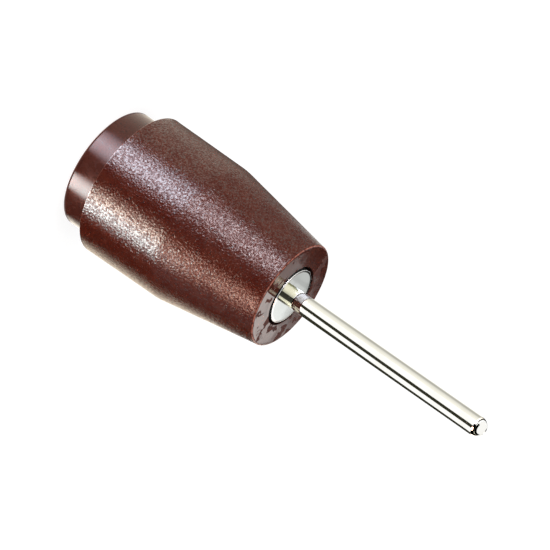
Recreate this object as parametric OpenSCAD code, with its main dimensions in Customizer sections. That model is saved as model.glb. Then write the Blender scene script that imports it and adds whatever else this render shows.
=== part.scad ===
// Blunt palm awl: a plated steel rod held by a turned spindle that clamps through
// a moulded grip, with a smooth palm cap that swivels on the spindle's rear journal.
// Millimetres. +Z runs from the palm to the rod's tip, and the origin is the centre
// of the flat palm face.

/* [Grip barrel] */
// Length from the palm face to the front face
grip_length = 47.3; // [40:0.1:60]
// Diameter of the flat front face, measured where the sides would meet it
front_d = 22.6; // [20:0.1:28]
// Diameter where the front taper meets the straight part
waist_d = 30.2; // [28:0.1:40]
// Diameter at the rear shoulder, slightly larger for mould draft
shoulder_d = 30.7; // [28:0.1:40]
// Length of the front taper
taper_length = 22.6; // [15:0.1:28]
// Radius that rounds the front face's edge
front_edge_r = 0.4; // [0.1:0.1:1]
// Radius that blends the taper into the straight part
waist_r = 13.6; // [2:0.1:20]
// Radius that breaks the rear shoulder's edge
shoulder_edge_r = 0.15; // [0.05:0.05:0.5]

/* [Palm cap] */
// Length of the cap that shows behind the shoulder
cap_reach = 6.5; // [5:0.1:10]
// Width of the step that the barrel's shoulder leaves round the cap
shoulder_step = 2.65; // [2:0.05:4]
// How much wider the cap is at the palm face than at the shoulder, for mould draft
cap_draft = 0.4; // [0:0.1:1]
// Radius that rounds the palm face's edge
cap_edge_r = 0.3; // [0.1:0.1:0.8]
// Depth that the cap sinks into the barrel's rear socket
cap_inset = 1.5; // [0.8:0.1:3]
// Width of the flat landing in the cap's back that the plug drops into
plug_d = 19; // [15:0.1:20]
// Thickness of the plug
plug_t = 1.2; // [0.8:0.1:2]
// Diameter of the plug's two spanner holes
spanner_hole_d = 1.6; // [1:0.1:2]
// Depth of the two blind spanner holes
spanner_hole_depth = 0.7; // [0.3:0.1:0.7]
// Distance between the two spanner holes
spanner_pitch = 11; // [8:0.1:13]

/* [Rod] */
// Diameter of the rod
rod_d = 4; // [3.6:0.1:5]
// Length of rod in front of the grip's front face, tip included
rod_reach = 47.7; // [30:0.1:60]
// Diameter of the tang that is pressed into the spindle
tang_d = 3.2; // [2:0.1:3.5]
// Length of the tang
tang_length = 18; // [10:0.1:20]
// Chamfer that leads the tang into its bore
tang_lead = 0.5; // [0.2:0.1:0.8]

/* [Spindle] */
// Diameter of the polished boss in the front face
boss_d = 11.8; // [10:0.1:14]
// Height of the boss's mirror face over the grip's front face
boss_proud = 0.15; // [0:0.05:0.5]
// Chamfer round the mirror face
boss_chamfer = 0.12; // [0.05:0.01:0.3]
// Depth of the counterbore that the boss sits in
boss_depth = 6; // [4:0.1:8]
// Diameter of the shank and of its rear thread
shank_d = 6; // [5.6:0.1:7]
// Step from the shank down to the rear journal that the palm cap turns on, per side
journal_step = 0.5; // [0.3:0.05:0.8]
// Free depth of the tang bore past the tang's end
tang_bore_spare = 1; // [0.5:0.1:2]

/* [Clamping pieces] */
// Thickness of the gasket under the boss
gasket_t = 0.8; // [0.5:0.1:1.5]
// Thickness of the flat clamp washer
clamp_washer_t = 1; // [0.6:0.1:2]
// Outer diameter of the flat clamp washer
clamp_washer_d = 13.6; // [11:0.1:14]
// Thickness of the split lock washer
lock_washer_t = 1.2; // [0.8:0.1:2]
// Outer diameter of the split lock washer
lock_washer_d = 10.4; // [9:0.1:12]
// Width of the lock washer's split
lock_washer_split = 1; // [0.5:0.1:1.5]
// Height of the clamp nut
nut_h = 4.5; // [3:0.1:6]
// Width of the clamp nut across its flats
nut_flats = 10; // [9.5:0.1:11]
// Length of thread left showing past the nut
thread_spare = 1.5; // [1:0.1:3]
// Diameter of the locating pin
locating_pin_d = 1.5; // [1:0.1:1.6]
// Depth of the locating pin in the boss
pin_in_boss = 2.4; // [1.5:0.1:3]
// Depth of the locating pin in the barrel
pin_in_barrel = 3; // [2:0.1:5]

/* [Swivel pieces] */
// Wall of the bush pressed into the cap
bush_wall = 1.25; // [0.8:0.05:2]
// Thickness of the thrust washer
thrust_washer_t = 0.9; // [0.5:0.1:1.5]
// Outer diameter of the thrust washer
thrust_washer_d = 10; // [8:0.1:12]
// Thickness of the retaining washer
retaining_washer_t = 0.6; // [0.4:0.1:1]
// How far the retaining washer reaches past the bush, per side
retaining_lip = 0.7; // [0.5:0.1:1]
// Diameter of the retaining screw's thread
screw_d = 3; // [2:0.1:3.2]
// Length of the retaining screw under its head
screw_length = 7; // [5:0.1:9]
// Diameter of the retaining screw's head
screw_head_d = 5.4; // [4.4:0.1:6]
// Height of the retaining screw's head
screw_head_h = 1.2; // [0.8:0.1:2]
// Width of the slot in the retaining screw's head
screw_slot_w = 0.8; // [0.5:0.1:1.2]
// Depth of the slot in the retaining screw's head
screw_slot_depth = 0.6; // [0.3:0.1:0.8]

/* [Clearances] */
// Gap round the boss in its counterbore, per side
boss_gap = 0.45; // [0.1:0.05:0.8]
// Gap round the shank in the barrel's bore, per side
shank_gap = 0.05; // [0.02:0.01:0.2]
// Gap round the gasket in the counterbore, per side
gasket_gap = 0.1; // [0.05:0.05:0.3]
// Gap round the clamp washer in the barrel's pocket, per side, with room for a box spanner
pocket_gap = 0.8; // [0.4:0.1:2]
// Gap between a washer's hole and what passes through it, per side
washer_gap = 0.15; // [0.05:0.05:0.3]
// Running gap between the bush and the journal, per side
running_gap = 0.05; // [0.02:0.01:0.1]
// Gap between the cap and the barrel's socket, per side
cap_gap = 0.22; // [0.15:0.01:0.5]
// Gap between the cap's front face and the socket's floor
cap_face_gap = 0.3; // [0.2:0.05:0.6]
// End float of the cap at each end of its bush
end_float = 0.1; // [0.05:0.01:0.2]
// Gap round the retaining washer in the cap's chamber, per side
chamber_gap = 1.5; // [0.5:0.1:2]
// Gap between the screw's head and the plug
head_gap = 0.3; // [0.2:0.05:1]
// Gap round the plug in the cap's back, per side
plug_gap = 0.04; // [0.02:0.01:0.1]

/* [Hidden] */

// Segments of a full circle in the preview
$fn = 96;
// Steps along a rounded corner
corner_steps = 8;
// How far a cut runs past the face that it opens
cut = 1;

// Heights along the axis, from the palm face to the tip
screw_head_z = plug_t + head_gap;
retaining_washer_z = screw_head_z + screw_head_h;
journal_end_z = retaining_washer_z + retaining_washer_t;
bush_z = journal_end_z + end_float;
cap_front_z = cap_reach + cap_inset;
thrust_washer_z = cap_front_z + end_float;
thread_z = thrust_washer_z + thrust_washer_t;
nut_z = thread_z + thread_spare;
lock_washer_z = nut_z + nut_h;
clamp_washer_z = lock_washer_z + lock_washer_t;
pocket_floor_z = clamp_washer_z + clamp_washer_t;
socket_floor_z = cap_front_z + cap_face_gap;
waist_z = grip_length - taper_length;
counterbore_z = grip_length - boss_depth;
boss_z = counterbore_z + gasket_t;
boss_face_z = grip_length + boss_proud;
tip_z = grip_length + rod_reach;

// Diameters that follow from what they fit round
cap_front_d = shoulder_d - 2 * shoulder_step;
cap_back_d = cap_front_d + cap_draft;
journal_d = shank_d - 2 * journal_step;
bush_d = journal_d + 2 * (running_gap + bush_wall);
retaining_washer_d = bush_d + 2 * retaining_lip;
chamber_d = retaining_washer_d + 2 * chamber_gap;
pocket_d = clamp_washer_d + 2 * pocket_gap;

// Radii that more than one piece shares
boss_r = boss_d / 2;
counterbore_r = boss_r + boss_gap;
shank_r = shank_d / 2;
journal_r = journal_d / 2;
cap_front_r = cap_front_d / 2;
rod_r = rod_d / 2;
tang_r = tang_d / 2;
locating_pin_r = locating_pin_d / 2;
locating_pin_offset = (shank_r + boss_r) / 2;

// Colours
grain_brown = [0.44, 0.25, 0.21];
gloss_brown = [0.40, 0.21, 0.17];
mirror_nickel = [0.86, 0.86, 0.84];
black_rubber = [0.10, 0.10, 0.10];
zinc_steel = [0.66, 0.67, 0.68];
bronze = [0.70, 0.52, 0.28];
white_nylon = [0.90, 0.89, 0.85];

// Points of an arc of radius r that rounds the corner at b between a and c
function unit(v) = v / norm(v);
function rounded_corner(a, b, c, r) =
    let (
        to_a = unit(a - b),
        to_c = unit(c - b),
        half = acos(to_a * to_c) / 2,
        centre = b + unit(to_a + to_c) * r / sin(half),
        from = b + to_a * r / tan(half) - centre,
        to = b + to_c * r / tan(half) - centre,
        sweep = 180 - 2 * half
    )
    [
        for (i = [0:corner_steps])
            let (t = i / corner_steps)
            centre + (from * sin(sweep * (1 - t)) + to * sin(sweep * t)) / sin(sweep)
    ];

// A turned piece from its half outline of [radius, height] points
module turned(outline) {
    rotate_extrude() polygon(outline);
}

// A plain ring standing on height z
module ring(outer_d, inner_d, z, height) {
    translate([0, 0, z])
        difference() {
            cylinder(d = outer_d, h = height);
            translate([0, 0, -cut]) cylinder(d = inner_d, h = height + 2 * cut);
        }
}

// A round hole or pin along the axis between two heights
module post(diameter, z0, z1) {
    translate([0, 0, z0]) cylinder(d = diameter, h = z1 - z0);
}

// Moulded barrel: tapered front, straight rear with draft, bored for the spindle
module grip_shell() {
    front_corner = [front_d / 2, grip_length];
    waist = [waist_d / 2, waist_z];
    shoulder = [shoulder_d / 2, cap_reach];
    color(grain_brown)
        difference() {
            turned(concat(
                [[0, cap_reach]],
                rounded_corner([0, cap_reach], shoulder, waist, shoulder_edge_r),
                rounded_corner(shoulder, waist, front_corner, waist_r),
                rounded_corner(waist, front_corner, [0, grip_length], front_edge_r),
                [[0, grip_length]]
            ));
            post(2 * counterbore_r, counterbore_z, grip_length + cut);
            post(shank_d + 2 * shank_gap, cap_reach, grip_length);
            post(pocket_d, cap_reach, pocket_floor_z);
            post(cap_front_d + 2 * cap_gap, cap_reach - cut, socket_floor_z);
            translate([locating_pin_offset, 0, 0])
                post(locating_pin_d, counterbore_z - pin_in_barrel, grip_length);
        }
}

// Turned spindle: mirror boss, shank, rear thread and journal in one piece
module spindle() {
    color(mirror_nickel)
        difference() {
            turned([
                [0, journal_end_z],
                [journal_r, journal_end_z],
                [journal_r, thread_z],
                [shank_r, thread_z],
                [shank_r, boss_z],
                [boss_r, boss_z],
                [boss_r, boss_face_z - boss_chamfer],
                [boss_r - boss_chamfer, boss_face_z],
                [0, boss_face_z]
            ]);
            post(tang_d, boss_face_z - tang_length - tang_bore_spare, boss_face_z + cut);
            post(screw_d, journal_end_z - cut, retaining_washer_z + screw_length);
            translate([locating_pin_offset, 0, 0])
                post(locating_pin_d, boss_z - cut, boss_z + pin_in_boss);
        }
}

// Plated steel rod: round tip, and a shoulder that seats on the mirror face
module rod() {
    tip_centre_z = tip_z - rod_r;
    tang_end_z = boss_face_z - tang_length;
    color(mirror_nickel)
        union() {
            turned([
                [0, tang_end_z],
                [tang_r - tang_lead, tang_end_z],
                [tang_r, tang_end_z + tang_lead],
                [tang_r, boss_face_z],
                [rod_r, boss_face_z],
                [rod_r, tip_centre_z],
                [0, tip_centre_z]
            ]);
            translate([0, 0, tip_centre_z])
                intersection() {
                    sphere(r = rod_r);
                    post(2 * rod_d, 0, rod_d);
                }
        }
}

// Rubber gasket that keeps the boss off the moulding's counterbore floor
module front_gasket() {
    color(black_rubber)
        difference() {
            ring(2 * (counterbore_r - gasket_gap), shank_d + 2 * washer_gap, counterbore_z, gasket_t);
            translate([locating_pin_offset, 0, 0])
                post(locating_pin_d, counterbore_z - cut, boss_z + cut);
        }
}

// Steel pin that stops the spindle from turning in the barrel
module locating_pin() {
    color(zinc_steel)
        translate([locating_pin_offset, 0, 0])
            post(locating_pin_d, counterbore_z - pin_in_barrel, boss_z + pin_in_boss);
}

// Flat washer that spreads the nut's load over the pocket's floor
module clamp_washer() {
    color(zinc_steel)
        ring(clamp_washer_d, shank_d + 2 * washer_gap, clamp_washer_z, clamp_washer_t);
}

// Split washer that keeps the clamp nut tight
module lock_washer() {
    color(zinc_steel)
        difference() {
            ring(lock_washer_d, shank_d + 2 * washer_gap, lock_washer_z, lock_washer_t);
            translate([0, -lock_washer_split / 2, lock_washer_z - cut])
                cube([lock_washer_d, lock_washer_split, lock_washer_t + 2 * cut]);
        }
}

// Hexagon nut that draws the boss and the barrel together
module clamp_nut() {
    color(zinc_steel)
        translate([0, 0, nut_z])
            difference() {
                cylinder(d = nut_flats / cos(30), h = nut_h, $fn = 6);
                translate([0, 0, -cut]) cylinder(d = shank_d, h = nut_h + 2 * cut);
            }
}

// Nylon washer that takes the palm's push off the cap's bush
module thrust_washer() {
    color(white_nylon)
        ring(thrust_washer_d, journal_d + 2 * washer_gap, thrust_washer_z, thrust_washer_t);
}

// Steel washer that holds the cap on the journal
module retaining_washer() {
    color(zinc_steel)
        ring(retaining_washer_d, screw_d + 2 * washer_gap, retaining_washer_z, retaining_washer_t);
}

// Slotted screw in the journal's end
module retaining_screw() {
    color(zinc_steel)
        difference() {
            union() {
                post(screw_head_d, screw_head_z, retaining_washer_z);
                post(screw_d, screw_head_z, retaining_washer_z + screw_length);
            }
            translate([-screw_head_d, -screw_slot_w / 2, screw_head_z - cut])
                cube([2 * screw_head_d, screw_slot_w, cut + screw_slot_depth]);
        }
}

// Smooth moulded cap that turns in the palm
module palm_cap() {
    back_corner = [cap_back_d / 2, 0];
    neck = [cap_front_r, cap_reach];
    color(gloss_brown)
        difference() {
            turned(concat(
                [[0, 0]],
                rounded_corner([0, 0], back_corner, neck, cap_edge_r),
                [neck, [cap_front_r, cap_front_z], [0, cap_front_z]]
            ));
            post(plug_d + 2 * plug_gap, -cut, plug_t);
            post(chamber_d, -cut, bush_z);
            post(bush_d, -cut, cap_front_z + cut);
        }
}

// Bronze bush pressed into the cap, which runs on the spindle's journal
module cap_bush() {
    color(bronze)
        ring(bush_d, journal_d + 2 * running_gap, bush_z, cap_front_z - bush_z);
}

// Disc that closes the cap's back over the retaining screw
module cap_plug() {
    color(gloss_brown)
        difference() {
            post(plug_d, 0, plug_t);
            for (side = [-1, 1])
                translate([side * spanner_pitch / 2, 0, 0])
                    post(spanner_hole_d, -cut, spanner_hole_depth);
        }
}

grip_shell();
spindle();
rod();
front_gasket();
locating_pin();
clamp_washer();
lock_washer();
clamp_nut();
thrust_washer();
retaining_washer();
retaining_screw();
palm_cap();
cap_bush();
cap_plug();
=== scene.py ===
import math

import bmesh
import bpy
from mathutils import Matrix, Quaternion, Vector, noise


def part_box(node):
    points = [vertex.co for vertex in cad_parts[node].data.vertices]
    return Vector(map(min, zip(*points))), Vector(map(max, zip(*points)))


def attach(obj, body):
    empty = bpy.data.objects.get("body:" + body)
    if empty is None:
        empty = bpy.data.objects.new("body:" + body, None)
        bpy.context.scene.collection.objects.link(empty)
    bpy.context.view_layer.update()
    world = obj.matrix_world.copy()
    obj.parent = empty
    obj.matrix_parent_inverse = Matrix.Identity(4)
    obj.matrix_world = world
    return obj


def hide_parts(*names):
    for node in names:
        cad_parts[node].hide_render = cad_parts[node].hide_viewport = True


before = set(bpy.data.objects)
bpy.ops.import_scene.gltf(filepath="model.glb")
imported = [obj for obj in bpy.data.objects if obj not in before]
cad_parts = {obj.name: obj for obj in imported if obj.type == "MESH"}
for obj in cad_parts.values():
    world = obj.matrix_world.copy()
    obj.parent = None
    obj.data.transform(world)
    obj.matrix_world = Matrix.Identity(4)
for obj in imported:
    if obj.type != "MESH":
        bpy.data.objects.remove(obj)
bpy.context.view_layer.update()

MM = 0.001

# ---------------------------------------------------------------------------
# Barrel. One phenolic moulding, tapered at the front, with a fine eroded grain
# on its sides from the mould, a flat pressed front face, and bores for the
# spindle, the clamp nut and the palm cap.
# ---------------------------------------------------------------------------
barrel_low, barrel_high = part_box("grip_shell")
gasket_low, gasket_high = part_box("front_gasket")
washer_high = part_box("clamp_washer")[1]
cap_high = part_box("palm_cap")[1]

FRONT_R = 11.3 * MM
WAIST_R = 15.1 * MM
SHOULDER_R = barrel_high.x
TAPER = 22.6 * MM
WAIST_ROUNDING = 13.6 * MM
FRONT_ROUNDING = 0.40 * MM
SHOULDER_ROUNDING = 0.15 * MM
SOCKET_ROUNDING = 0.08 * MM
COUNTERBORE_R = 6.56 * MM
SHANK_BORE_R = 3.05 * MM
POCKET_R = 7.6 * MM
SOCKET_R = 12.92 * MM
SOCKET_SPARE = 0.3 * MM
BARREL_SEGMENTS = 520

# The mould's grain: pebbles on the side with grooves between them, as steep as PEBBLE_FALL says,
# shallow sink marks under them, and a slight wave in the face.
PEBBLE = 0.44 * MM
PEBBLE_DEPTH = 0.008 * MM
PEBBLE_FALL = 2.2
SINK_WAVE = 3.4 * MM
SINK_DEPTH = 0.03 * MM
FACE_WAVE = 2.6 * MM
FACE_DEPTH = 0.006 * MM
FADE_AT_SHOULDER = 0.6 * MM
FADE_AT_FRONT = 0.8 * MM

# How finely an outline is divided: between corners, and round them. A corner rounded less than
# LARGEST_EDGE counts as an edge, which takes a lighter line of rubbed wear and painted highlight.
COARSE_STEP = 3 * MM
FACE_STEP = 0.5 * MM
GRAIN_STEP = 0.19 * MM
LARGEST_TURN = math.radians(12)
SHARPEST_SMOOTH = math.radians(32)
LARGEST_EDGE = 1.0 * MM
RUB_AND_HIGHLIGHT_WIDTH = 0.08 * MM
ON_AXIS = 1e-7


def rounded(corners, closed):
    """Points of an outline whose corners (radius, height, rounding, step, zone) are rounded,
    each with its zone and the strength of its lighter line of rubbed wear and painted highlight: most at the
    middle of a small rounding.

    step is the longest distance between points on the way to the next corner,
    and zone is what that stretch is called."""
    points = []
    count = len(corners)
    for i, (r, z, rounding, step, zone) in enumerate(corners):
        here = Vector((r, z))
        before = Vector(corners[i - 1][:2]) - here
        after = Vector(corners[(i + 1) % count][:2]) - here
        at_end = not closed and i in (0, count - 1)
        if at_end or not rounding:
            points.append((here, zone, 0.0))
            continue
        is_edge = rounding < LARGEST_EDGE
        half = before.angle(after) / 2
        inward = (before.normalized() + after.normalized()).normalized()
        centre = here + inward * rounding / math.sin(half)
        start = here + before.normalized() * rounding / math.tan(half) - centre
        turn = math.pi - 2 * half
        side = 1 if before.x * after.y - before.y * after.x < 0 else -1
        steps = max(3, math.ceil(turn / LARGEST_TURN), math.ceil(turn * rounding / step))
        sharpness = max(1, rounding / RUB_AND_HIGHLIGHT_WIDTH)
        for k in range(steps + 1):
            angle = side * turn * k / steps
            c, s = math.cos(angle), math.sin(angle)
            spoke = Vector((start.x * c - start.y * s, start.x * s + start.y * c))
            # The lighter edge line is rubbed wear and painted highlight.
            rub_and_highlight = math.sin(math.pi * k / steps) ** sharpness if is_edge else 0.0
            points.append((centre + spoke, "edge" if is_edge and k < steps else zone, rub_and_highlight))
    out = []
    last = len(points) if closed else len(points) - 1
    steps_of = {corner[4]: corner[3] for corner in corners}
    for i in range(last):
        (a, zone, rub_and_highlight), (b, _, _) = points[i], points[(i + 1) % len(points)]
        parts = 1 if zone == "edge" else max(1, math.ceil((b - a).length / steps_of[zone]))
        out += [(a.lerp(b, k / parts), zone, rub_and_highlight if k == 0 else 0.0) for k in range(parts)]
    if not closed:
        out.append(points[-1])
    return out


def turned(name, corners, segments, closed=True, relief=None, finishes=(), zones=None):
    """A piece turned about the tool's axis, with smooth normals and an edge mask for wear and painted
    highlight.

    relief gives the depth under the true surface at a point, its angle and its zone.
    zones says which of the finishes a zone takes, and the others take the first."""
    outline = rounded(corners, closed)
    count = len(outline)
    rings, edge_values, verts = [], [], []
    for i, (point, zone, rub_and_highlight) in enumerate(outline):
        ahead = outline[(i + 1) % count][0] if closed or i + 1 < count else point
        behind = outline[i - 1][0] if closed or i else point
        along = (ahead - behind).normalized()
        normal = Vector((along.y, -along.x))
        if point.x < ON_AXIS:
            rings.append([len(verts)])
            verts.append((0, 0, point.y))
            edge_values.append(0.0)
            continue
        ring = []
        for j in range(segments):
            angle = math.tau * j / segments
            c, s = math.cos(angle), math.sin(angle)
            depth = relief(Vector((point.x * c, point.x * s, point.y)), angle, zone) if relief else 0
            r, z = point.x - normal.x * depth, point.y - normal.y * depth
            ring.append(len(verts))
            verts.append((r * c, r * s, z))
            edge_values.append(rub_and_highlight)
        rings.append(ring)
    faces, face_zones = [], []
    for i in range(count if closed else count - 1):
        low, high = rings[i], rings[(i + 1) % count]
        for j in range(segments):
            k = (j + 1) % segments
            if len(low) == 1:
                faces.append((low[0], high[k], high[j]))
            elif len(high) == 1:
                faces.append((low[j], low[k], high[0]))
            else:
                faces.append((low[j], low[k], high[k], high[j]))
            face_zones.append(outline[i][1])
    mesh = bpy.data.meshes.new(name)
    mesh.from_pydata(verts, [], faces)
    for finish in finishes:
        mesh.materials.append(finish)
    for polygon, zone in zip(mesh.polygons, face_zones):
        polygon.material_index = (zones or {}).get(zone, 0)
    mask = mesh.attributes.new("edge", "FLOAT", "POINT")
    mask.data.foreach_set("value", edge_values)
    made = bmesh.new()
    made.from_mesh(mesh)
    bmesh.ops.recalc_face_normals(made, faces=made.faces)
    made.to_mesh(mesh)
    made.free()
    mesh.shade_smooth()
    mesh.set_sharp_from_angle(angle=SHARPEST_SMOOTH)
    piece = bpy.data.objects.new(name, mesh)
    bpy.context.collection.objects.link(piece)
    return piece


def add(tree, kind, values=None, **settings):
    """A shader node with its settings, and its inputs by name or number as values or links."""
    made = tree.nodes.new(kind)
    for key, value in settings.items():
        setattr(made, key, value)
    for key, value in (values or {}).items():
        if isinstance(value, bpy.types.NodeSocket):
            tree.links.new(value, made.inputs[key])
        else:
            made.inputs[key].default_value = value
    return made


def maths(tree, operation, *values):
    """The result of one Math node on values or links."""
    return add(tree, "ShaderNodeMath", dict(enumerate(values)), operation=operation).outputs[0]


def ramp(tree, factor, *stops):
    """A colour ramp over (position, colour) stops; its output is a colour."""
    made = add(tree, "ShaderNodeValToRGB", {"Fac": factor})
    elements = made.color_ramp.elements
    while len(elements) > len(stops):
        elements.remove(elements[-1])
    while len(elements) < len(stops):
        elements.new(0.5)
    for element, (position, colour) in zip(elements, stops):
        element.position = position
        element.color = (*colour, 1) if len(colour) == 3 else colour
    return made.outputs["Color"]


def grey(level):
    return (level, level, level)


def shared(name, inputs, outputs):
    """An empty node group with named inputs (name: default) and outputs (name: kind)."""
    group = bpy.data.node_groups.new(name, "ShaderNodeTree")
    for label, default in inputs.items():
        kind = "NodeSocketFloat" if isinstance(default, (int, float)) else "NodeSocketColor"
        socket = group.interface.new_socket(label, in_out="INPUT", socket_type=kind)
        socket.default_value = default
    for label, kind in outputs.items():
        group.interface.new_socket(label, in_out="OUTPUT", socket_type="NodeSocket" + kind)
    return group, add(group, "NodeGroupInput").outputs, add(group, "NodeGroupOutput").inputs


def finish(name, **sockets):
    """A material with one Principled shader, whose fixed values are set on its own sockets."""
    material = bpy.data.materials.new(name)
    material.use_nodes = True
    tree = material.node_tree
    shader = tree.nodes["Principled BSDF"]
    for label, value in sockets.items():
        shader.inputs[label.replace("_", " ")].default_value = value
    return material, tree, shader.inputs


# Flow marks: moulding resin that set a little lighter or redder, in soft clouds
# with darker flecks of filler.
flow_marks, flow_in, flow_out = shared(
    "flow marks",
    {"Deep": (0.06, 0.012, 0.007, 1), "Warm": (0.10, 0.026, 0.016, 1), "Fleck": (0.02, 0.006, 0.005, 1),
     "Cloud size": 500.0, "Fleck size": 2500.0},
    {"Color": "Color"},
)
where = add(flow_marks, "ShaderNodeTexCoord").outputs["Object"]
cloud = add(flow_marks, "ShaderNodeTexNoise", {
    "Vector": where, "Scale": flow_in["Cloud size"], "Detail": 3.0, "Roughness": 0.6}).outputs["Fac"]
cloud_level = add(flow_marks, "ShaderNodeMapRange", {
    "Value": cloud, "From Min": 0.36, "From Max": 0.64}).outputs["Result"]
resin = add(flow_marks, "ShaderNodeMix", {
    "Factor": cloud_level, "A": flow_in["Deep"], "B": flow_in["Warm"]}, data_type="RGBA")
fleck = add(flow_marks, "ShaderNodeTexNoise", {
    "Vector": where, "Scale": flow_in["Fleck size"], "Detail": 2.0}).outputs["Fac"]
fleck_level = add(flow_marks, "ShaderNodeMapRange", {
    "Value": fleck, "From Min": 0.60, "From Max": 0.70}).outputs["Result"]
flecked = add(flow_marks, "ShaderNodeMix", {
    "Factor": fleck_level, "A": resin.outputs["Result"], "B": flow_in["Fleck"]}, data_type="RGBA")
flow_marks.links.new(flecked.outputs["Result"], flow_out["Color"])

# Edge line: where the mould's edge has been handled, the dark skin is rubbed thin and the lighter resin under
# it shows, in a broken line. The lighter line is also painted highlight, the thin bright line that small
# rounded edges catch.
rub_and_edge_highlight, rub_and_highlight_in, rub_and_highlight_out = shared(
    "rub and edge highlight",
    {"Color": (0.07, 0.016, 0.009, 1), "Rub and highlight": (0.64, 0.23, 0.16, 1), "Amount": 0.6, "Break size": 1800.0},
    {"Color": "Color"},
)
on_edge = add(rub_and_edge_highlight, "ShaderNodeAttribute", attribute_name="edge").outputs["Fac"]
where = add(rub_and_edge_highlight, "ShaderNodeTexCoord").outputs["Object"]
breaks = add(rub_and_edge_highlight, "ShaderNodeTexNoise", {
    "Vector": where, "Scale": rub_and_highlight_in["Break size"], "Detail": 3.0}).outputs["Fac"]
breaks = add(rub_and_edge_highlight, "ShaderNodeMapRange", {
    "Value": breaks, "From Min": 0.34, "From Max": 0.56}).outputs["Result"]
# Lighter on the edges: rubbed wear and painted highlight.
broken_edge = maths(rub_and_edge_highlight, "MULTIPLY", on_edge, breaks)
rub_and_highlight = maths(rub_and_edge_highlight, "MULTIPLY", broken_edge, rub_and_highlight_in["Amount"])
rubbed_and_highlight = add(rub_and_edge_highlight, "ShaderNodeMix", {
    "Factor": rub_and_highlight, "A": rub_and_highlight_in["Color"], "B": rub_and_highlight_in["Rub and highlight"]}, data_type="RGBA")
rub_and_edge_highlight.links.new(rubbed_and_highlight.outputs["Result"], rub_and_highlight_out["Color"])


def resin_colour(tree, deep, warm, amount, cloud_mm=2.4, fleck_mm=0.4):
    """Base colour of the brown moulding: flow marks with a lighter edge line of rubbed wear and painted
    highlight over them.
    """
    marks = add(tree, "ShaderNodeGroup", node_tree=flow_marks)
    marks.inputs["Deep"].default_value = (*deep, 1)
    marks.inputs["Warm"].default_value = (*warm, 1)
    marks.inputs["Cloud size"].default_value = 1 / (cloud_mm * MM)
    marks.inputs["Fleck size"].default_value = 1 / (fleck_mm * MM)
    edge = add(tree, "ShaderNodeGroup", {"Color": marks.outputs["Color"]}, node_tree=rub_and_edge_highlight)
    edge.inputs["Amount"].default_value = amount
    return edge.outputs["Color"]


# Grained skin: satin, with the eroded grain as bump on top of the mesh's pebbles, and a thin
# polished film on its high spots that glints.
grained, tree, skin = finish(
    "grained_brown", IOR=1.5, Specular_IOR_Level=0.10, Coat_IOR=1.5, Coat_Roughness=0.19)
colour = resin_colour(tree, (0.058, 0.0060, 0.0020), (0.076, 0.0125, 0.0060), 0.6)
where = add(tree, "ShaderNodeTexCoord").outputs["Object"]
grain = add(tree, "ShaderNodeTexNoise", {
    "Vector": where, "Scale": 1 / (0.37 * MM), "Detail": 1.0, "Roughness": 0.4,
    "Distortion": 0.4}).outputs["Fac"]
pits = add(tree, "ShaderNodeTexVoronoi", {
    "Vector": where, "Scale": 1 / (0.50 * MM), "Randomness": 1.0}, feature="SMOOTH_F1").outputs["Distance"]
height = maths(tree, "MULTIPLY_ADD", pits, 0.3, grain)
bump = add(tree, "ShaderNodeBump", {"Height": height, "Strength": 1.0, "Distance": 0.070 * MM})
tree.links.new(bump.outputs["Normal"], skin["Normal"])
tree.links.new(bump.outputs["Normal"], skin["Coat Normal"])
tree.links.new(colour, skin["Base Color"])
satin = add(tree, "ShaderNodeMapRange", {
    "Value": grain, "From Min": 0.3, "From Max": 0.7, "To Min": 0.26, "To Max": 0.14}).outputs["Result"]
tree.links.new(satin, skin["Roughness"])
glint = add(tree, "ShaderNodeTexNoise", {
    "Vector": where, "Scale": 1 / (0.40 * MM), "Detail": 1.0, "Roughness": 0.5,
    "Distortion": 0.3}).outputs["Fac"]
glint_level = add(tree, "ShaderNodeMapRange", {
    "Value": glint, "From Min": 0.40, "From Max": 0.66, "To Min": 0.0, "To Max": 0.62}).outputs["Result"]
tree.links.new(glint_level, skin["Coat Weight"])

# Pressed front face: glossy where the mould pressed it flat, dull in the low patches.
pressed, tree, face = finish(
    "pressed_brown", IOR=1.5, Specular_IOR_Level=0.20, Coat_Roughness=0.04, Coat_IOR=1.75)
colour = resin_colour(tree, (0.052, 0.0075, 0.0036), (0.072, 0.0165, 0.0095), 0.9, 1.9, 0.5)
where = add(tree, "ShaderNodeTexCoord").outputs["Object"]
patch = add(tree, "ShaderNodeTexNoise", {
    "Vector": where, "Scale": 1 / (2.6 * MM), "Detail": 2.0, "Roughness": 0.5,
    "Distortion": 0.3}).outputs["Fac"]
dull = add(tree, "ShaderNodeMapRange", {
    "Value": patch, "From Min": 0.56, "From Max": 0.60}).outputs["Result"]
tree.links.new(colour, face["Base Color"])
face_rough = add(tree, "ShaderNodeMapRange", {
    "Value": dull, "To Min": 0.06, "To Max": 0.6}).outputs["Result"]
tree.links.new(face_rough, face["Roughness"])
coat = add(tree, "ShaderNodeMapRange", {
    "Value": dull, "To Min": 1.0, "To Max": 0.0}).outputs["Result"]
tree.links.new(coat, face["Coat Weight"])
ripple = add(tree, "ShaderNodeTexNoise", {
    "Vector": where, "Scale": 1 / (1.1 * MM), "Detail": 2.0}).outputs["Fac"]
bump = add(tree, "ShaderNodeBump", {"Height": ripple, "Strength": 0.4, "Distance": 0.02 * MM})
tree.links.new(bump.outputs["Normal"], face["Normal"])

# Bores: cut after moulding, dull, with rings left by the cutter, and painted darker than the skin as the
# shade inside them.
bored, tree, bore = finish("bored_brown", IOR=1.5, Specular_IOR_Level=0.15)
where = add(tree, "ShaderNodeTexCoord").outputs["Object"]
rings = add(tree, "ShaderNodeTexWave", {
    "Vector": where, "Scale": 1 / (1.4 * MM), "Distortion": 1.5, "Detail": 2.0},
    bands_direction="Z").outputs["Fac"]
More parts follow.
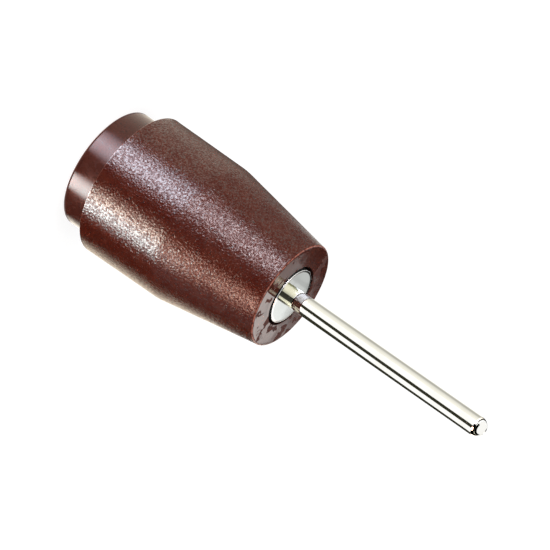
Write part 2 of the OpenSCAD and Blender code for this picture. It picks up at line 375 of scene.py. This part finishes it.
# Darker than the skin: painted shade inside the bores.
shaded_cut_resin = ramp(tree, rings, (0.2, (0.026, 0.006, 0.004)), (0.8, (0.045, 0.011, 0.007)))
tree.links.new(shaded_cut_resin, bore["Base Color"])
tree.links.new(ramp(tree, rings, (0.2, grey(0.62)), (0.8, grey(0.80))), bore["Roughness"])
bump = add(tree, "ShaderNodeBump", {"Height": rings, "Strength": 0.5, "Distance": 0.01 * MM})
tree.links.new(bump.outputs["Normal"], bore["Normal"])


def barrel_relief(point, angle, zone):
    """Depth of the mould's grain and sink marks under the true surface."""
    if zone == "side":
        f1, f2 = noise.voronoi(point / PEBBLE)[0][:2]
        pebble = PEBBLE_DEPTH * (1 - min(1.0, PEBBLE_FALL * (f2 - f1)))
        sink = SINK_DEPTH * (0.5 + 0.5 * noise.noise(point / SINK_WAVE))
        from_shoulder = (point.z - barrel_low.z) / FADE_AT_SHOULDER
        from_front = (barrel_high.z - point.z) / FADE_AT_FRONT
        return (pebble + sink) * max(0.0, min(1.0, from_shoulder, from_front))
    if zone == "face":
        return FACE_DEPTH * (0.5 + 0.5 * noise.noise(point / FACE_WAVE))
    return 0.0


waist_z = barrel_high.z - TAPER
socket_floor_z = cap_high.z + SOCKET_SPARE
barrel_corners = [
    (SOCKET_R, barrel_low.z, SOCKET_ROUNDING, COARSE_STEP, "shoulder"),
    (SHOULDER_R, barrel_low.z, SHOULDER_ROUNDING, GRAIN_STEP, "side"),
    (WAIST_R, waist_z, WAIST_ROUNDING, GRAIN_STEP, "side"),
    (FRONT_R, barrel_high.z, FRONT_ROUNDING, FACE_STEP, "face"),
    (COUNTERBORE_R, barrel_high.z, 0, COARSE_STEP, "bore"),
    (COUNTERBORE_R, gasket_low.z, 0, COARSE_STEP, "bore"),
    (SHANK_BORE_R, gasket_low.z, 0, COARSE_STEP, "bore"),
    (SHANK_BORE_R, washer_high.z, 0, COARSE_STEP, "bore"),
    (POCKET_R, washer_high.z, 0, COARSE_STEP, "bore"),
    (POCKET_R, socket_floor_z, 0, COARSE_STEP, "bore"),
    (SOCKET_R, socket_floor_z, 0, COARSE_STEP, "bore"),
]
barrel = turned("barrel", barrel_corners, BARREL_SEGMENTS, relief=barrel_relief,
                finishes=(grained, pressed, bored), zones={"face": 1, "shoulder": 1, "bore": 2})
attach(barrel, "grip")
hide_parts("grip_shell")

# ---------------------------------------------------------------------------
# Spindle. One turned brass piece, nickel plated and mirror polished on its
# front boss, with the shank, an M6 thread for the clamp nut and a ground
# journal for the palm cap behind it. The rod's tang is pressed into its front.
# ---------------------------------------------------------------------------
spindle_low, spindle_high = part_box("spindle")
rod_low, rod_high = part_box("rod")
thrust_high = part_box("thrust_washer")[1]
screw_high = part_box("retaining_screw")[1]
boss_r = spindle_high.x
TANG_R = 1.6 * MM
TANG_SPARE = 1.0 * MM
SHANK_R = 3.0 * MM
JOURNAL_R = 2.5 * MM
SCREW_R = 1.5 * MM
BOSS_ROUNDING = 0.12 * MM
BOSS_BACK_ROUNDING = 0.10 * MM
THRUST_ROUNDING = 0.2 * MM
END_ROUNDING = 0.1 * MM
MIRROR_STEP = 0.4 * MM
SPINDLE_SEGMENTS = 160
THREAD_PITCH = 1.0 * MM
THREAD_DEPTH = 0.55 * MM
THREAD_STEP = 0.12 * MM
THREAD_START = 0.4 * MM
THREAD_RUN_OUT = 0.8 * MM

# Polish marks: hairlines round the axis or along it that only blur a mirror finish a little.
polish_marks, polish_in, polish_out = shared(
    "polish marks",
    {"Radial size": 9000.0, "Axial size": 9000.0, "Stain size": 350.0, "Clean": 0.04, "Dull": 0.10},
    {"Roughness": "Float", "Height": "Float", "Stain": "Float"},
)
where = add(polish_marks, "ShaderNodeTexCoord").outputs["Object"]
split = add(polish_marks, "ShaderNodeSeparateXYZ", {"Vector": where}).outputs
x_squared = maths(polish_marks, "MULTIPLY", split["X"], split["X"])
r_squared = maths(polish_marks, "MULTIPLY_ADD", split["Y"], split["Y"], x_squared)
radius = maths(polish_marks, "SQRT", r_squared)
around = maths(polish_marks, "ARCTAN2", split["Y"], split["X"])
radial = maths(polish_marks, "MULTIPLY", radius, polish_in["Radial size"])
axial = maths(polish_marks, "MULTIPLY", split["Z"], polish_in["Axial size"])
turnwise = add(polish_marks, "ShaderNodeCombineXYZ", {"X": radial, "Y": around, "Z": axial}).outputs["Vector"]
hairline = add(polish_marks, "ShaderNodeTexNoise", {
    "Vector": turnwise, "Scale": 1.0, "Detail": 2.0, "Roughness": 0.7}).outputs["Fac"]
stain = add(polish_marks, "ShaderNodeTexNoise", {
    "Vector": where, "Scale": polish_in["Stain size"], "Detail": 3.0}).outputs["Fac"]
stain = add(polish_marks, "ShaderNodeMapRange", {
    "Value": stain, "From Min": 0.4, "From Max": 0.65}).outputs["Result"]
blur = add(polish_marks, "ShaderNodeMapRange", {
    "Value": maths(polish_marks, "MULTIPLY", hairline, stain), "From Max": 0.6,
    "To Min": polish_in["Clean"], "To Max": polish_in["Dull"]}).outputs["Result"]
polish_marks.links.new(blur, polish_out["Roughness"])
polish_marks.links.new(hairline, polish_out["Height"])
polish_marks.links.new(stain, polish_out["Stain"])


def metal(name, clean, stained, marks, bump_mm, **sockets):
    """A metal finish: marks are (radial mm, axial mm, clean roughness, dull roughness)."""
    material, tree, shader = finish(name, Metallic=1.0, **sockets)
    lines = add(tree, "ShaderNodeGroup", node_tree=polish_marks)
    lines.inputs["Radial size"].default_value = 1 / (marks[0] * MM)
    lines.inputs["Axial size"].default_value = 1 / (marks[1] * MM)
    lines.inputs["Clean"].default_value = marks[2]
    lines.inputs["Dull"].default_value = marks[3]
    tint = add(tree, "ShaderNodeMix", {
        "Factor": lines.outputs["Stain"], "A": (*clean, 1), "B": (*stained, 1)}, data_type="RGBA")
    tree.links.new(tint.outputs["Result"], shader["Base Color"])
    tree.links.new(lines.outputs["Roughness"], shader["Roughness"])
    bump = add(tree, "ShaderNodeBump", {
        "Height": lines.outputs["Height"], "Strength": 1.0, "Distance": bump_mm * MM})
    tree.links.new(bump.outputs["Normal"], shader["Normal"])
    return material


mirror_face = metal(
    "mirror_nickel", (0.92, 0.92, 0.90), (0.89, 0.89, 0.87), (0.06, 0.5, 0.02, 0.05), 0.0002)

# Rubber: dull black with a paler bloom, for the front gasket. The spindle's boss side takes it too,
# as painted shade in the gap round the boss.
rubber_and_shade, tree, shader = finish("black_rubber", IOR=1.5)
where = add(tree, "ShaderNodeTexCoord").outputs["Object"]
bloom = add(tree, "ShaderNodeTexNoise", {
    "Vector": where, "Scale": 1 / (0.8 * MM), "Detail": 4.0}).outputs["Fac"]
tree.links.new(ramp(tree, bloom, (0.3, grey(0.012)), (0.75, grey(0.04))), shader["Base Color"])
tree.links.new(ramp(tree, bloom, (0.3, grey(0.55)), (0.7, grey(0.8))), shader["Roughness"])
bump = add(tree, "ShaderNodeBump", {"Height": bloom, "Strength": 0.6, "Distance": 0.02 * MM})
tree.links.new(bump.outputs["Normal"], shader["Normal"])


def spindle_relief(point, angle, zone):
    """Depth of the rolled thread, which runs out before the shank."""
    if zone != "thread":
        return 0.0
    turns = (point.z / THREAD_PITCH - angle / math.tau) % 1.0
    from_start = (point.z - thrust_high.z) / THREAD_START
    from_end = (washer_high.z - point.z) / THREAD_RUN_OUT
    return THREAD_DEPTH * abs(2 * turns - 1) * max(0.0, min(1.0, from_start, from_end))


spindle_corners = [
    (0, rod_low.z - TANG_SPARE, 0, COARSE_STEP, "bore"),
    (TANG_R, rod_low.z - TANG_SPARE, 0, COARSE_STEP, "bore"),
    (TANG_R, spindle_high.z, 0, MIRROR_STEP, "face"),
    (boss_r, spindle_high.z, BOSS_ROUNDING, COARSE_STEP, "boss"),
    (boss_r, gasket_high.z, BOSS_BACK_ROUNDING, COARSE_STEP, "under"),
    (SHANK_R, gasket_high.z, 0, COARSE_STEP, "shank"),
    (SHANK_R, washer_high.z, 0, THREAD_STEP, "thread"),
    (SHANK_R, thrust_high.z, THRUST_ROUNDING, COARSE_STEP, "thrust"),
    (JOURNAL_R, thrust_high.z, 0, COARSE_STEP, "journal"),
    (JOURNAL_R, spindle_low.z, END_ROUNDING, COARSE_STEP, "end"),
    (SCREW_R, spindle_low.z, 0, COARSE_STEP, "tapped"),
    (SCREW_R, screw_high.z, 0, COARSE_STEP, "tapped"),
    (0, screw_high.z, 0, COARSE_STEP, "tapped"),
]
# The boss's side takes the black rubber: painted shade in the gap round the boss.
spindle = turned("spindle_body", spindle_corners, SPINDLE_SEGMENTS, closed=False, relief=spindle_relief,
                 finishes=(mirror_face, rubber_and_shade), zones={"boss": 1})
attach(spindle, "grip")
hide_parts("spindle")

# ---------------------------------------------------------------------------
# Rod. Straight 4 mm steel, nickel plated and buffed along its length, with a
# half-ball tip. Its thinner tang is pressed into the spindle, and its shoulder
# seats on the mirror face.
# ---------------------------------------------------------------------------
rod_r = rod_high.x
TANG_LEAD = 0.5 * MM
TIP_STEPS = 24
ROD_STEP = 1.5 * MM
ROD_SEGMENTS = 128
buffed_rod = metal(
    "buffed_nickel", (0.95, 0.94, 0.90), (0.90, 0.89, 0.84), (0.3, 0.10, 0.02, 0.05), 0.0001)
rod_corners = [
    (0, rod_low.z, 0, COARSE_STEP, "tang"),
    (TANG_R - TANG_LEAD, rod_low.z, 0, COARSE_STEP, "tang"),
    (TANG_R, rod_low.z + TANG_LEAD, 0, COARSE_STEP, "tang"),
    (TANG_R, spindle_high.z, 0, COARSE_STEP, "seat"),
    (rod_r, spindle_high.z, 0, ROD_STEP, "straight"),
]
for k in range(TIP_STEPS):
    lean = k / TIP_STEPS * math.pi / 2
    height = rod_high.z - rod_r + rod_r * math.sin(lean)
    rod_corners.append((rod_r * math.cos(lean), height, 0, COARSE_STEP, "tip"))
rod_corners.append((0, rod_high.z, 0, COARSE_STEP, "tip"))
rod = turned("rod_body", rod_corners, ROD_SEGMENTS, closed=False, finishes=(buffed_rod,))
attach(rod, "grip")
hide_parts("rod")

# ---------------------------------------------------------------------------
# Front gasket. A ring cut from black rubber sheet, under the boss, that keeps
# it off the moulding. The locating pin goes through it.
# ---------------------------------------------------------------------------


def dress(node, material):
    """Gives a piece that keeps its plain shape its finish."""
    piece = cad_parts[node]
    for slot in piece.material_slots:
        slot.material = material


dress("front_gasket", rubber_and_shade)

# ---------------------------------------------------------------------------
# Small steel pieces. The pin that stops the spindle turning, the nut and washers
# that clamp it, and the screw and washer that hold the cap on. Bright zinc plate
# over pressed or turned steel, with the tool marks showing.
# ---------------------------------------------------------------------------
STEEL_PIECES = (
    "locating_pin", "clamp_washer", "lock_washer", "clamp_nut", "retaining_washer", "retaining_screw")
zinc = metal("zinc_steel", (0.62, 0.63, 0.66), (0.46, 0.47, 0.50), (0.12, 0.12, 0.18, 0.42), 0.002)
for node in STEEL_PIECES:
    dress(node, zinc)

# ---------------------------------------------------------------------------
# Thrust washer. Natural nylon, turned from bar and slightly yellowed. It lies
# between the spindle's shank and the cap, and takes the palm's push.
# ---------------------------------------------------------------------------
nylon, tree, shader = finish("white_nylon", IOR=1.53, Subsurface_Weight=0.1)
where = add(tree, "ShaderNodeTexCoord").outputs["Object"]
haze = add(tree, "ShaderNodeTexNoise", {
    "Vector": where, "Scale": 1 / (1.5 * MM), "Detail": 3.0}).outputs["Fac"]
yellowed = ramp(tree, haze, (0.3, (0.70, 0.66, 0.56)), (0.7, (0.80, 0.78, 0.70)))
tree.links.new(yellowed, shader["Base Color"])
tree.links.new(ramp(tree, haze, (0.3, grey(0.34)), (0.7, grey(0.5))), shader["Roughness"])
dress("thrust_washer", nylon)

# ---------------------------------------------------------------------------
# Palm cap. A smooth moulding of the same resin, polished by the mould, that
# sinks a little way into the barrel and turns on its bush. A plug closes its back.
# ---------------------------------------------------------------------------
bush_low, bush_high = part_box("cap_bush")
plug_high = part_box("cap_plug")[1]
CAP_NECK_R = 12.7 * MM
CHAMBER_R = 6.0 * MM
PLUG_GAP = 0.04 * MM
PLUG_SEAT_ROUNDING = 0.06 * MM
CAP_BACK_ROUNDING = 0.30 * MM
CAP_FRONT_ROUNDING = 0.15 * MM
CAP_STEP = 0.8 * MM
CAP_SEGMENTS = 288
smooth_brown, tree, shader = finish("gloss_brown", IOR=1.5, Specular_IOR_Level=0.18)
colour = resin_colour(tree, (0.060, 0.0120, 0.0070), (0.078, 0.018, 0.011), 0.5, 4.0, 0.35)
where = add(tree, "ShaderNodeTexCoord").outputs["Object"]
smear = add(tree, "ShaderNodeTexNoise", {
    "Vector": where, "Scale": 1 / (1.6 * MM), "Detail": 4.0}).outputs["Fac"]
tree.links.new(colour, shader["Base Color"])
tree.links.new(ramp(tree, smear, (0.3, grey(0.22)), (0.7, grey(0.32))), shader["Roughness"])
bump = add(tree, "ShaderNodeBump", {"Height": smear, "Strength": 0.25, "Distance": 0.01 * MM})
tree.links.new(bump.outputs["Normal"], shader["Normal"])
plug_seat_r = plug_high.x + PLUG_GAP
bush_r = bush_high.x
cap_corners = [
    (plug_seat_r, 0, PLUG_SEAT_ROUNDING, COARSE_STEP, "back"),
    (cap_high.x, 0, CAP_BACK_ROUNDING, CAP_STEP, "side"),
    (CAP_NECK_R, barrel_low.z, 0, COARSE_STEP, "neck"),
    (CAP_NECK_R, cap_high.z, CAP_FRONT_ROUNDING, COARSE_STEP, "front"),
    (bush_r, cap_high.z, 0, COARSE_STEP, "hub"),
    (bush_r, bush_low.z, 0, COARSE_STEP, "web"),
    (CHAMBER_R, bush_low.z, 0, COARSE_STEP, "chamber"),
    (CHAMBER_R, plug_high.z, 0, COARSE_STEP, "seat"),
    (plug_seat_r, plug_high.z, 0, COARSE_STEP, "seat"),
]
cap = turned("cap_body", cap_corners, CAP_SEGMENTS, finishes=(smooth_brown,))
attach(cap, "cap")
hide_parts("palm_cap")
dress("cap_plug", smooth_brown)

# ---------------------------------------------------------------------------
# Cap bush. A short plain bearing of turned bronze, pressed into the cap's hub,
# that runs on the spindle's journal.
# ---------------------------------------------------------------------------
bronze = metal("bronze", (0.62, 0.38, 0.16), (0.44, 0.25, 0.10), (0.08, 0.08, 0.16, 0.36), 0.002)
dress("cap_bush", bronze)

# ---------------------------------------------------------------------------
# Floor, sky and lamp. A wide sheet of pale paper that glows, so it looks evenly
# white, a white sky, and one large soft lamp high over the camera's side,
# towards -X.
# ---------------------------------------------------------------------------
FLOOR_HALF = 2.0
FLOOR_GLOW = 0.84
PAPER_CLOUD = 25 * MM
SKY_STRENGTH = 1.0
LAMP_SIZE = 1.2
LAMP_WATTS = 6
LAMP_PLACE = (-0.5, -0.5, 1.3)
floor_corners = [
    (-FLOOR_HALF, -FLOOR_HALF, 0), (FLOOR_HALF, -FLOOR_HALF, 0),
    (FLOOR_HALF, FLOOR_HALF, 0), (-FLOOR_HALF, FLOOR_HALF, 0)]
floor_mesh = bpy.data.meshes.new("floor")
floor_mesh.from_pydata(floor_corners, [], [(0, 1, 2, 3)])
floor = bpy.data.objects.new("floor", floor_mesh)
bpy.context.collection.objects.link(floor)
pale, tree, shader = finish(
    "pale_floor", Roughness=0.9, Specular_IOR_Level=0.0, Emission_Color=(1, 1, 1, 1),
    Emission_Strength=FLOOR_GLOW)
where = add(tree, "ShaderNodeTexCoord").outputs["Object"]
paper = add(tree, "ShaderNodeTexNoise", {
    "Vector": where, "Scale": 1 / PAPER_CLOUD, "Detail": 2.0}).outputs["Fac"]
tree.links.new(ramp(tree, paper, (0.3, grey(0.21)), (0.7, grey(0.23))), shader["Base Color"])
floor_mesh.materials.append(pale)

world = bpy.data.worlds.new("sky")
bpy.context.scene.world = world
world.use_nodes = True
sky = world.node_tree.nodes["Background"].inputs
sky["Color"].default_value = (1.0, 1.0, 1.0, 1)
sky["Strength"].default_value = SKY_STRENGTH

lamp_data = bpy.data.lights.new("soft_lamp", "AREA")
lamp_data.shape = "DISK"
lamp_data.size = LAMP_SIZE
lamp_data.energy = LAMP_WATTS
lamp = bpy.data.objects.new("soft_lamp", lamp_data)
lamp.location = LAMP_PLACE
lamp.rotation_mode = "QUATERNION"
lamp.rotation_quaternion = (-lamp.location).to_track_quat("-Z", "Y")
lamp.visible_glossy = False
bpy.context.collection.objects.link(lamp)

# ---------------------------------------------------------------------------
# Side cards. Strip lamps and black flags that lie on the floor or stand round
# the tool for its polished and grained sides to reflect. Only reflections show
# them, and their glow is painted on them.
# ---------------------------------------------------------------------------

# Degrees of the tool's side that one strip of a card covers, the tool's radius that the cards are
# set out for, and how high the floor cards lie
CARD_TURN = 1.5
CARD_R = 13.0 * MM
CARD_HEIGHT = 0.4 * MM

# Reach of the floor cards from the side of the tool
CAP_REACH = 14 * MM
BARREL_REACH = 113 * MM
ROD_NEAR = 124 * MM
ROD_FAR = 320 * MM

# Reach of the standing cards, and the heights that they start and end at
WALL_REACH = 310 * MM
LAMP_TOP = 65 * MM
FLAG_TOP = 120 * MM
MIRROR_LOW = 171 * MM
MIRROR_MIDDLE = 175.1 * MM
MIRROR_HIGH = 186.5 * MM
WALL_TOP = 340 * MM

glow = bpy.data.materials.new("card_glow")
glow.use_nodes = True
glow_tree = glow.node_tree
glow_tree.nodes.remove(glow_tree.nodes["Principled BSDF"])
painted = add(glow_tree, "ShaderNodeAttribute", attribute_name="glow").outputs["Color"]
shine = add(glow_tree, "ShaderNodeEmission", {"Color": painted, "Strength": 1.0})
glow_tree.links.new(shine.outputs[0], glow_tree.nodes["Material Output"].inputs["Surface"])


def card(name, columns, colour, levels):
    """A card between two long edges, given as columns of (near point, far point).

    levels are its strengths at even steps across the columns."""
    glows = []
    for k in range(len(columns)):
        place = k / (len(columns) - 1) * (len(levels) - 1)
        i = min(int(place), len(levels) - 2)
        level = levels[i] + (levels[i + 1] - levels[i]) * (place - i)
        glows += [colour[0] * level, colour[1] * level, colour[2] * level, 1] * 2
    faces = [(2 * k, 2 * k + 1, 2 * k + 3, 2 * k + 2) for k in range(len(columns) - 1)]
    mesh = bpy.data.meshes.new(name)
    mesh.from_pydata([point for column in columns for point in column], [], faces)
    mesh.attributes.new("glow", "FLOAT_COLOR", "POINT").data.foreach_set("color", glows)
    mesh.materials.append(glow)
    made = bpy.data.objects.new(name, mesh)
    bpy.context.collection.objects.link(made)
    made.visible_camera = False
    made.visible_diffuse = False
    made.visible_shadow = False
    made.visible_transmission = False
    made.visible_volume_scatter = False


def heading(bearing):
    """A direction over the floor: bearing 0 is towards the camera's side, and 90 is towards -X."""
    angle = math.radians(bearing)
    return Vector((-math.sin(angle), -math.cos(angle), 0))


def side_card(name, radius, first, last, near, far, colour, levels):
    """A card that shows on a round side of this radius, between two angles in degrees
    from the camera's side. first and last each hold that angle for the near edge and
    the far edge, and near and far are the edges' (reach, height): the way that light
    leaves the side, which turns twice as fast as the side does."""
    columns = []
    steps = max(2, math.ceil(abs(last[0] - first[0]) / CARD_TURN))
    for k in range(steps + 1):
        column = []
        for end, (reach, height) in enumerate((near, far)):
            angle = first[end] + (last[end] - first[end]) * k / steps
            over_floor = heading(angle) * radius + heading(2 * angle) * reach
            column.append(over_floor + Vector((0, 0, height)))
        columns.append(column)
    card(name, columns, colour, levels)


BLACK = (0, 0, 0)
UNLIT = (0, 0)
COOL_WHITE = (0.86, 1.0, 1.0)
LILAC = (0.80, 0.87, 1.0)
ROSE = (1.0, 0.60, 0.46)
APRICOT = (1.0, 0.88, 0.74)
PINK = (0.95, 0.86, 0.90)
TAN = (1.0, 0.93, 0.80)
BUFF = (1.0, 0.88, 0.70)
IVORY = (1.0, 0.985, 0.90)
OLIVE = (1.0, 1.0, 0.62)
BRASS = (1.0, 0.98, 0.78)

# Each card is (name, first angle, last angle, colour, levels). The cap and the barrel's straight
# part reflect cards on the floor, and the barrel's taper the lowest of the standing ones. The rod
# as the mirror face shows it reflects the mirror cards, and the brown face as the rod's foot shows
# it reflects the seat cards.
cap_cards = (
    ("edge", -90, -70, TAN, (4, 2)),
    ("flag_a", -70, -37, BLACK, UNLIT),
    ("strip_a", -37, -18, COOL_WHITE, (0, 40, 50, 42, 0)),
    ("flag_b", -18, 2, BLACK, UNLIT),
    ("strip_b", 2, 29, LILAC, (0, 22, 28, 16, 0)),
    ("shade", 29, 90, TAN, (1.5, 2.0, 2.0)),
)
barrel_cards = (
    ("edge", -90, -64, BUFF, (1.7, 1.9, 1.1)),
    ("flag_a", -64, -36, BLACK, UNLIT),
    ("strip_a", -36, -25, COOL_WHITE, (3, 34, 41, 32)),
    ("strip_c", -25, -14, APRICOT, (32, 27, 14, 3)),
    ("flag_b", -14, 3, BLACK, UNLIT),
    ("strip_b", 3, 27, LILAC, (1, 17, 28, 29, 22, 9, 1.9)),
    ("shade", 27, 90, TAN, (1.9, 2.2, 1.6, 0.3, 0)),
)
taper_cards = (
    ("edge", -90, -67, BUFF, (3.3, 2.8)),
    ("flag_a", -67, -37, BLACK, UNLIT),
    ("strip_a", -37, -17, ROSE, (2, 19, 23, 20, 3)),
    ("flag_b", -17, 4, BLACK, UNLIT),
    ("strip_b", 4, 29, PINK, (1, 16, 27, 28, 22, 10, 2)),
    ("shade", 29, 90, TAN, (2.0, 2.3, 1.1, 0.1, 0)),
)
mirror_cards = (
    ("line", -88, -55, BRASS, (0.03, 0.03)),
    ("left", -55, -34, BRASS, (0.60, 0.90, 0.50)),
    ("dark", -34, -3, BRASS, (0.05, 0.03)),
    ("right", -3, 50, BRASS, (0.50, 0.90, 0.95, 0.80)),
    ("rim", 50, 80, OLIVE, (0.50, 0.20, 0.20)),
)
seat_cards = (
    ("left", -69, -34, BRASS, (0.7, 3.4, 2.8)),
    ("dark", -34, -3, BRASS, (0.1, 0.1)),
    ("right", -3, 80, LILAC, (1.2, 4.6, 4.8, 3.6)),
)
bands = (
    ("cap", cap_cards, (0, CARD_HEIGHT), (CAP_REACH, CARD_HEIGHT)),
    ("barrel", barrel_cards, (CAP_REACH, CARD_HEIGHT), (BARREL_REACH, CARD_HEIGHT)),
    ("taper", taper_cards, (WALL_REACH, 0), (WALL_REACH, LAMP_TOP)),
    ("mirror", mirror_cards, (WALL_REACH, MIRROR_MIDDLE), (WALL_REACH, MIRROR_HIGH)),
    ("seat", seat_cards, (WALL_REACH, MIRROR_LOW), (WALL_REACH, MIRROR_MIDDLE)),
)
for band, cards, near, far in bands:
    for label, first, last, colour, levels in cards:
        side_card(f"{band}_{label}", CARD_R, (first, first), (last, last), near, far, colour, levels)

# Black flags between the standing bands and over them: (name, first, last, low, high)
wall_flags = (
    ("a", -69, 80, LAMP_TOP, FLAG_TOP),
    ("b", -69, 2, FLAG_TOP, MIRROR_LOW),
    ("c", -69, 18, MIRROR_HIGH, WALL_TOP),
)
for label, first, last, low, high in wall_flags:
    near, far = (WALL_REACH, low), (WALL_REACH, high)
    side_card(f"wall_flag_{label}", CARD_R, (first, first), (last, last), near, far, BLACK, UNLIT)

# Floor cards for the rod. Their edges drift, so the lines on the rod aren't quite parallel to it.
rod_cards = (
    ("flag_a", (-17.0, -27.0), (-1.3, -10.0), OLIVE, (0.03, 0.03)),
    ("flag_b", (-90, -90), (-43, -56), OLIVE, (0.03, 0.03)),
    ("shade", (24, 24), (64, 64), IVORY, (1.04, 0.95, 0.82, 0.50, 0.46)),
    ("edge", (64, 64), (90, 90), IVORY, (0.46, 0.95, 1.0)),
)
near, far = (ROD_NEAR, CARD_HEIGHT), (ROD_FAR, CARD_HEIGHT)
for label, first, last, colour, levels in rod_cards:
    side_card(f"rod_{label}", rod_r, first, last, near, far, colour, levels)

# ---------------------------------------------------------------------------
# Back cards. Flat cards that stand behind the tool, in rows from low to high,
# for the front face and the mirror face to reflect. They are dark towards -X
# and get paler towards +X.
# ---------------------------------------------------------------------------
BACK_Y = 300 * MM
WARM_GREY = (1.0, 0.95, 0.91)
SILVER = (0.97, 1.0, 0.985)

# Each row is (low, high, cells), and each cell is (first x, last x, colour, levels), with the
# heights and x in millimetres.
back_rows = (
    (100, 166.9, (
        (-60, -3, WARM_GREY, (0.02, 0.03)),
        (-3, 7, WARM_GREY, (0.20, 0.30)),
        (7, 60, WARM_GREY, (0.50, 0.55)),
    )),
    (166.9, 169.0, (
        (-60, -8.2, WARM_GREY, (0.02, 0.03)),
        (-8.2, -4.8, SILVER, (0.53, 0.52)),
        (-4.8, -3.3, SILVER, (0.48, 0.48)),
        (-3.3, 1.5, SILVER, (0.60, 0.64)),
        (1.5, 9.5, SILVER, (0.60, 0.64)),
        (9.5, 60, WARM_GREY, (0.90, 1.00)),
    )),
    (169.0, 174.1, (
        (-60, -8.2, WARM_GREY, (0.02, 0.03)),
        (-8.2, -4.8, SILVER, (0.56, 0.55)),
        (-4.8, -3.3, SILVER, (0.49, 0.49)),
        (-3.3, 1.5, SILVER, (0.64, 0.70)),
        (1.5, 9.5, SILVER, (0.82, 0.97)),
        (9.5, 60, WARM_GREY, (1.30, 1.40)),
    )),
    (174.1, 270, (
        (-60, -11.5, WARM_GREY, (0.02, 0.04)),
        (-11.5, 3, WARM_GREY, (0.40, 0.58)),
        (3, 60, WARM_GREY, (1.45, 1.60)),
    )),
)
for row, (low, high, cells) in enumerate(back_rows):
    for cell, (first, last, colour, levels) in enumerate(cells):
        columns = [
            [Vector((x * MM, BACK_Y, low * MM)), Vector((x * MM, BACK_Y, high * MM))]
            for x in (first, last)]
        card(f"back_{row}_{cell}", columns, colour, levels)

# ---------------------------------------------------------------------------
# Camera. A long lens that looks down at the tool from 22.7 degrees above the
# floor and is rolled so that the rod points to the lower right.
# ---------------------------------------------------------------------------
ELEVATION = math.radians(22.7)
ROLL = math.radians(124.88)
DISTANCE = 700.2 * MM
AIM_RIGHT = 3.03 * MM
AIM_UP = -4.03 * MM
LENS = 239.7
SENSOR_WIDTH = 36
CLOSEST = 10 * MM
camera_data = bpy.data.cameras.new("camera")
camera_data.lens = LENS
camera_data.sensor_width = SENSOR_WIDTH
camera_data.clip_start = CLOSEST
camera = bpy.data.objects.new("camera", camera_data)
back = Vector((0, -math.cos(ELEVATION), math.sin(ELEVATION)))
level = (-back).to_track_quat("-Z", "Y")
camera.rotation_mode = "QUATERNION"
camera.rotation_quaternion = level @ Quaternion((0, 0, 1), ROLL)
right = camera.rotation_quaternion @ Vector((1, 0, 0))
up = camera.rotation_quaternion @ Vector((0, 1, 0))
camera.location = Vector((0, 0, barrel_high.z)) + back * DISTANCE - right * AIM_RIGHT - up * AIM_UP
bpy.context.collection.objects.link(camera)
bpy.context.scene.camera = camera
bpy.context.scene.view_settings.view_transform = "Standard"
